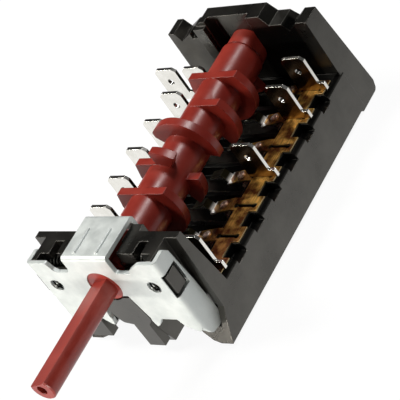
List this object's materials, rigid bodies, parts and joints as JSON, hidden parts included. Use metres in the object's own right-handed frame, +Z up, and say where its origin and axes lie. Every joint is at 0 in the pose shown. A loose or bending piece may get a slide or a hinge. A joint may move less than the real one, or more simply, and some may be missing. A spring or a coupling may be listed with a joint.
{
  "type": "rotary oven switch",
  "caption": "Open rotary selector switch: a flatted spindle turns a cam shaft in a moulded frame and works a row of spring contacts, with tab terminals along both sides.",
  "frame": {"origin": "on the shaft line in the front face of the mounting plate, midway between the two tapped fixing holes", "axes": "+Y runs along the shaft from the knob end to the rear wall, +X is to the right seen from the knob end, +Z is up, towards the open side of the frame"},
  "size_m": [0.0462, 0.1048, 0.0306],
  "materials": {
    "black_plastic": "moulded, slightly glossy",
    "zinc_steel": "zinc plated",
    "red_plastic": "moulded, smooth",
    "slider_plastic": "moulded",
    "spring_steel": "drawn wire",
    "spring_brass": "rolled strip",
    "tinned_brass": "tinned",
    "rivet_metal": "headed"
  },
  "bodies": {
    "frame": {"contact_spring_comb": "spring_brass", "detent_spring_left": "spring_steel", "detent_spring_right": "spring_steel", "fixed_contact_rivets": "rivet_metal", "housing": "black_plastic", "mounting_plate": "zinc_steel", "spring_contact_rivets": "rivet_metal", "terminal_left_1": "tinned_brass", "terminal_left_2": "tinned_brass", "terminal_left_3": "tinned_brass", "terminal_left_4": "tinned_brass", "terminal_left_5": "tinned_brass", "terminal_left_6": "tinned_brass", "terminal_left_7": "tinned_brass", "terminal_right_1": "tinned_brass", "terminal_right_4": "tinned_brass", "terminal_right_6": "tinned_brass", "terminal_right_7": "tinned_brass"},
    "shaft": {"camshaft": "red_plastic"},
    "slider_right": {"detent_slider_right": "slider_plastic"},
    "slider_left": {"detent_slider_left": "slider_plastic"}
  },
  "joints": [
    {"name": "spindle_turn", "type": "hinge", "parent": "frame", "child": "shaft", "pos_m": [0, 0, 0], "axis": [0, 1, 0], "continuous": true},
    {"name": "detent_right", "type": "slide", "parent": "frame", "child": "slider_right", "axis": [1, 0, 0], "range_m": [0, 0.0005], "stiffness_N_per_m": 200, "springref_m": -0.001},
    {"name": "detent_left", "type": "slide", "parent": "frame", "child": "slider_left", "axis": [-1, 0, 0], "range_m": [0, 0.0005], "stiffness_N_per_m": 200, "springref_m": -0.001}
  ]
}
